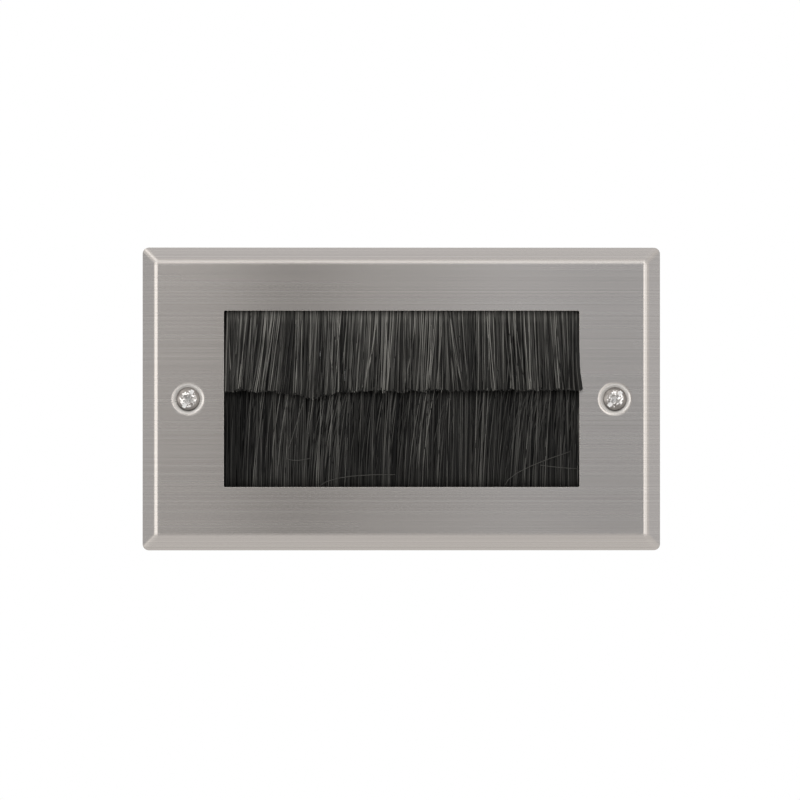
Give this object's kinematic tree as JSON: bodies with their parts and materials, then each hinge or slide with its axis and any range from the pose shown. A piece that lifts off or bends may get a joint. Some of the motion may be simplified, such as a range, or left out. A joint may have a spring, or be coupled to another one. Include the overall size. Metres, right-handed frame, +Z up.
{
  "type": "brush wall plate",
  "caption": "Bevelled wall plate in brushed steel with a wide cable opening closed by overlapping rows of bristles, fixed by countersunk screws.",
  "frame": {"origin": "the middle of the plate in the wall plane, halfway between the two fixing screws", "axes": "+X to the right across the plate, +Y into the wall, +Z up; the plate faces -Y"},
  "size_m": [0.1464, 0.0282, 0.0856],
  "materials": {
    "plate_steel": "fine horizontal brushing",
    "retainer_plastic": "moulded, fine texture",
    "bristle_nylon": "fine nylon filaments",
    "channel_metal": "galvanised",
    "screw_plating": "nickel plated",
    "stud_steel": "plain, welded at its flange",
    "zinc_plating": "bright zinc plated"
  },
  "bodies": {
    "root": {"face_plate": "plate_steel", "brush_retainer": "retainer_plastic", "upper_bristles": "bristle_nylon", "lower_bristles": "bristle_nylon", "upper_channel": "channel_metal", "lower_channel": "channel_metal", "upper_core_wire": "channel_metal", "lower_core_wire": "channel_metal", "fixing_screw_left": "screw_plating", "fixing_screw_right": "screw_plating", "weld_stud_1": "stud_steel", "weld_stud_2": "stud_steel", "weld_stud_3": "stud_steel", "weld_stud_4": "stud_steel", "washer_1": "zinc_plating", "washer_2": "zinc_plating", "washer_3": "zinc_plating", "washer_4": "zinc_plating", "nut_1": "zinc_plating", "nut_2": "zinc_plating", "nut_3": "zinc_plating", "nut_4": "zinc_plating"}
  },
  "joints": []
}
